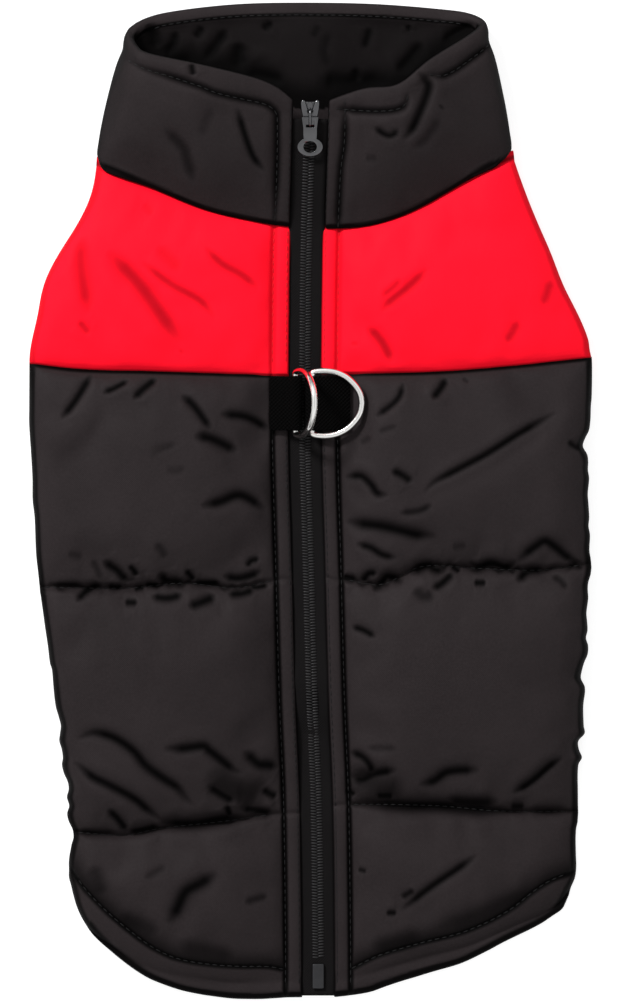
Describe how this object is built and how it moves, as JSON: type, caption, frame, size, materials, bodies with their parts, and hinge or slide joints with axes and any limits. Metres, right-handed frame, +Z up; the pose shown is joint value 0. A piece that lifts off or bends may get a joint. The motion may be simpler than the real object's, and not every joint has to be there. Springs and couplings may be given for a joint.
{
  "type": "dog puffer jacket",
  "caption": "Black padded dog jacket with a red yoke and stand collar, laid flat with its zipped back up and steel D-rings over the zip.",
  "frame": {"origin": "middle of the jacket's outline, on the surface it lies on", "axes": "+Y towards the collar, +X towards the right side of the back as seen from above, +Z up from the belly to the zip side"},
  "size_m": [0.2597, 0.4597, 0.0357],
  "materials": {
    "shell_black": "black woven nylon with a soft sheen",
    "shell_red": "red woven nylon with a soft sheen",
    "webbing": "black ribbed webbing",
    "zip_tape": "black woven tape",
    "zip_teeth": "black nylon coil",
    "zipper_metal": "dark plated zinc, satin",
    "ring_steel": "bright nickel plate"
  },
  "bodies": {
    "root": {"collar": "shell_black", "yoke_left": "shell_red", "yoke_right": "shell_red", "body_left": "shell_black", "body_right": "shell_black", "belly_panel": "shell_black", "zip_tape_left": "zip_tape", "zip_tape_right": "zip_tape", "zip_chain": "zip_teeth", "zip_box": "zipper_metal", "zip_slider": "zipper_metal", "ring_tab_left": "webbing", "ring_tab_right": "webbing"},
    "ring_left": {"d_ring_left": "ring_steel"},
    "ring_right": {"d_ring_right": "ring_steel"},
    "pull": {"zip_pull": "zipper_metal"}
  },
  "joints": [
    {"name": "ring_left_turn", "type": "hinge", "parent": "root", "child": "ring_left", "pos_m": [-0.0066, 0.0444, 0.0129], "axis": [0, -1, 0], "range_deg": [0, 94]},
    {"name": "ring_right_turn", "type": "hinge", "parent": "root", "child": "ring_right", "pos_m": [0.0009, 0.0444, 0.0129], "axis": [0, -1, 0], "range_deg": [0, 60]},
    {"name": "pull_turn", "type": "hinge", "parent": "root", "child": "pull", "pos_m": [0.00004, 0.17419, 0.02513], "axis": [-1, 0, 0], "range_deg": [0, 150]}
  ]
}
